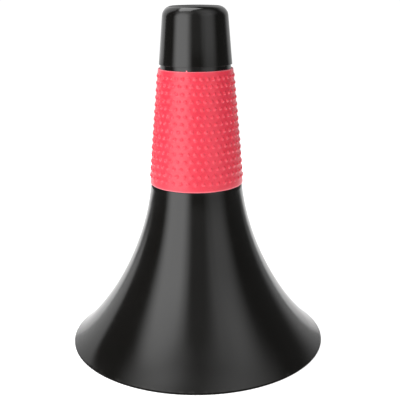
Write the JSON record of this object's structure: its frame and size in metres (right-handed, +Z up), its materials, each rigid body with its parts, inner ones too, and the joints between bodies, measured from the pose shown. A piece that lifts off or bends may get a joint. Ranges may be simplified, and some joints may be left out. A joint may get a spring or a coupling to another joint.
{
  "type": "hand-held training cone",
  "caption": "Hollow trumpet-shaped cone with an open wide end to catch a ball in, a tapered neck under a bumpy rubber grip sleeve, and a rounded end cap.",
  "frame": {"origin": "centre of the open end, in the plane of the rim that the cone stands on", "axes": "+Z up along the axis, from the open end to the cap; the cone is round about it, so X and Y are free"},
  "size_m": [0.1788, 0.1788, 0.234],
  "materials": {
    "black_shell": "gloss, moulded",
    "red_rubber": "satin, moulded with raised bumps",
    "black_cap": "gloss, moulded"
  },
  "bodies": {
    "root": {"cone_shell": "black_shell", "grip_sleeve": "red_rubber", "end_cap": "black_cap"}
  },
  "joints": []
}
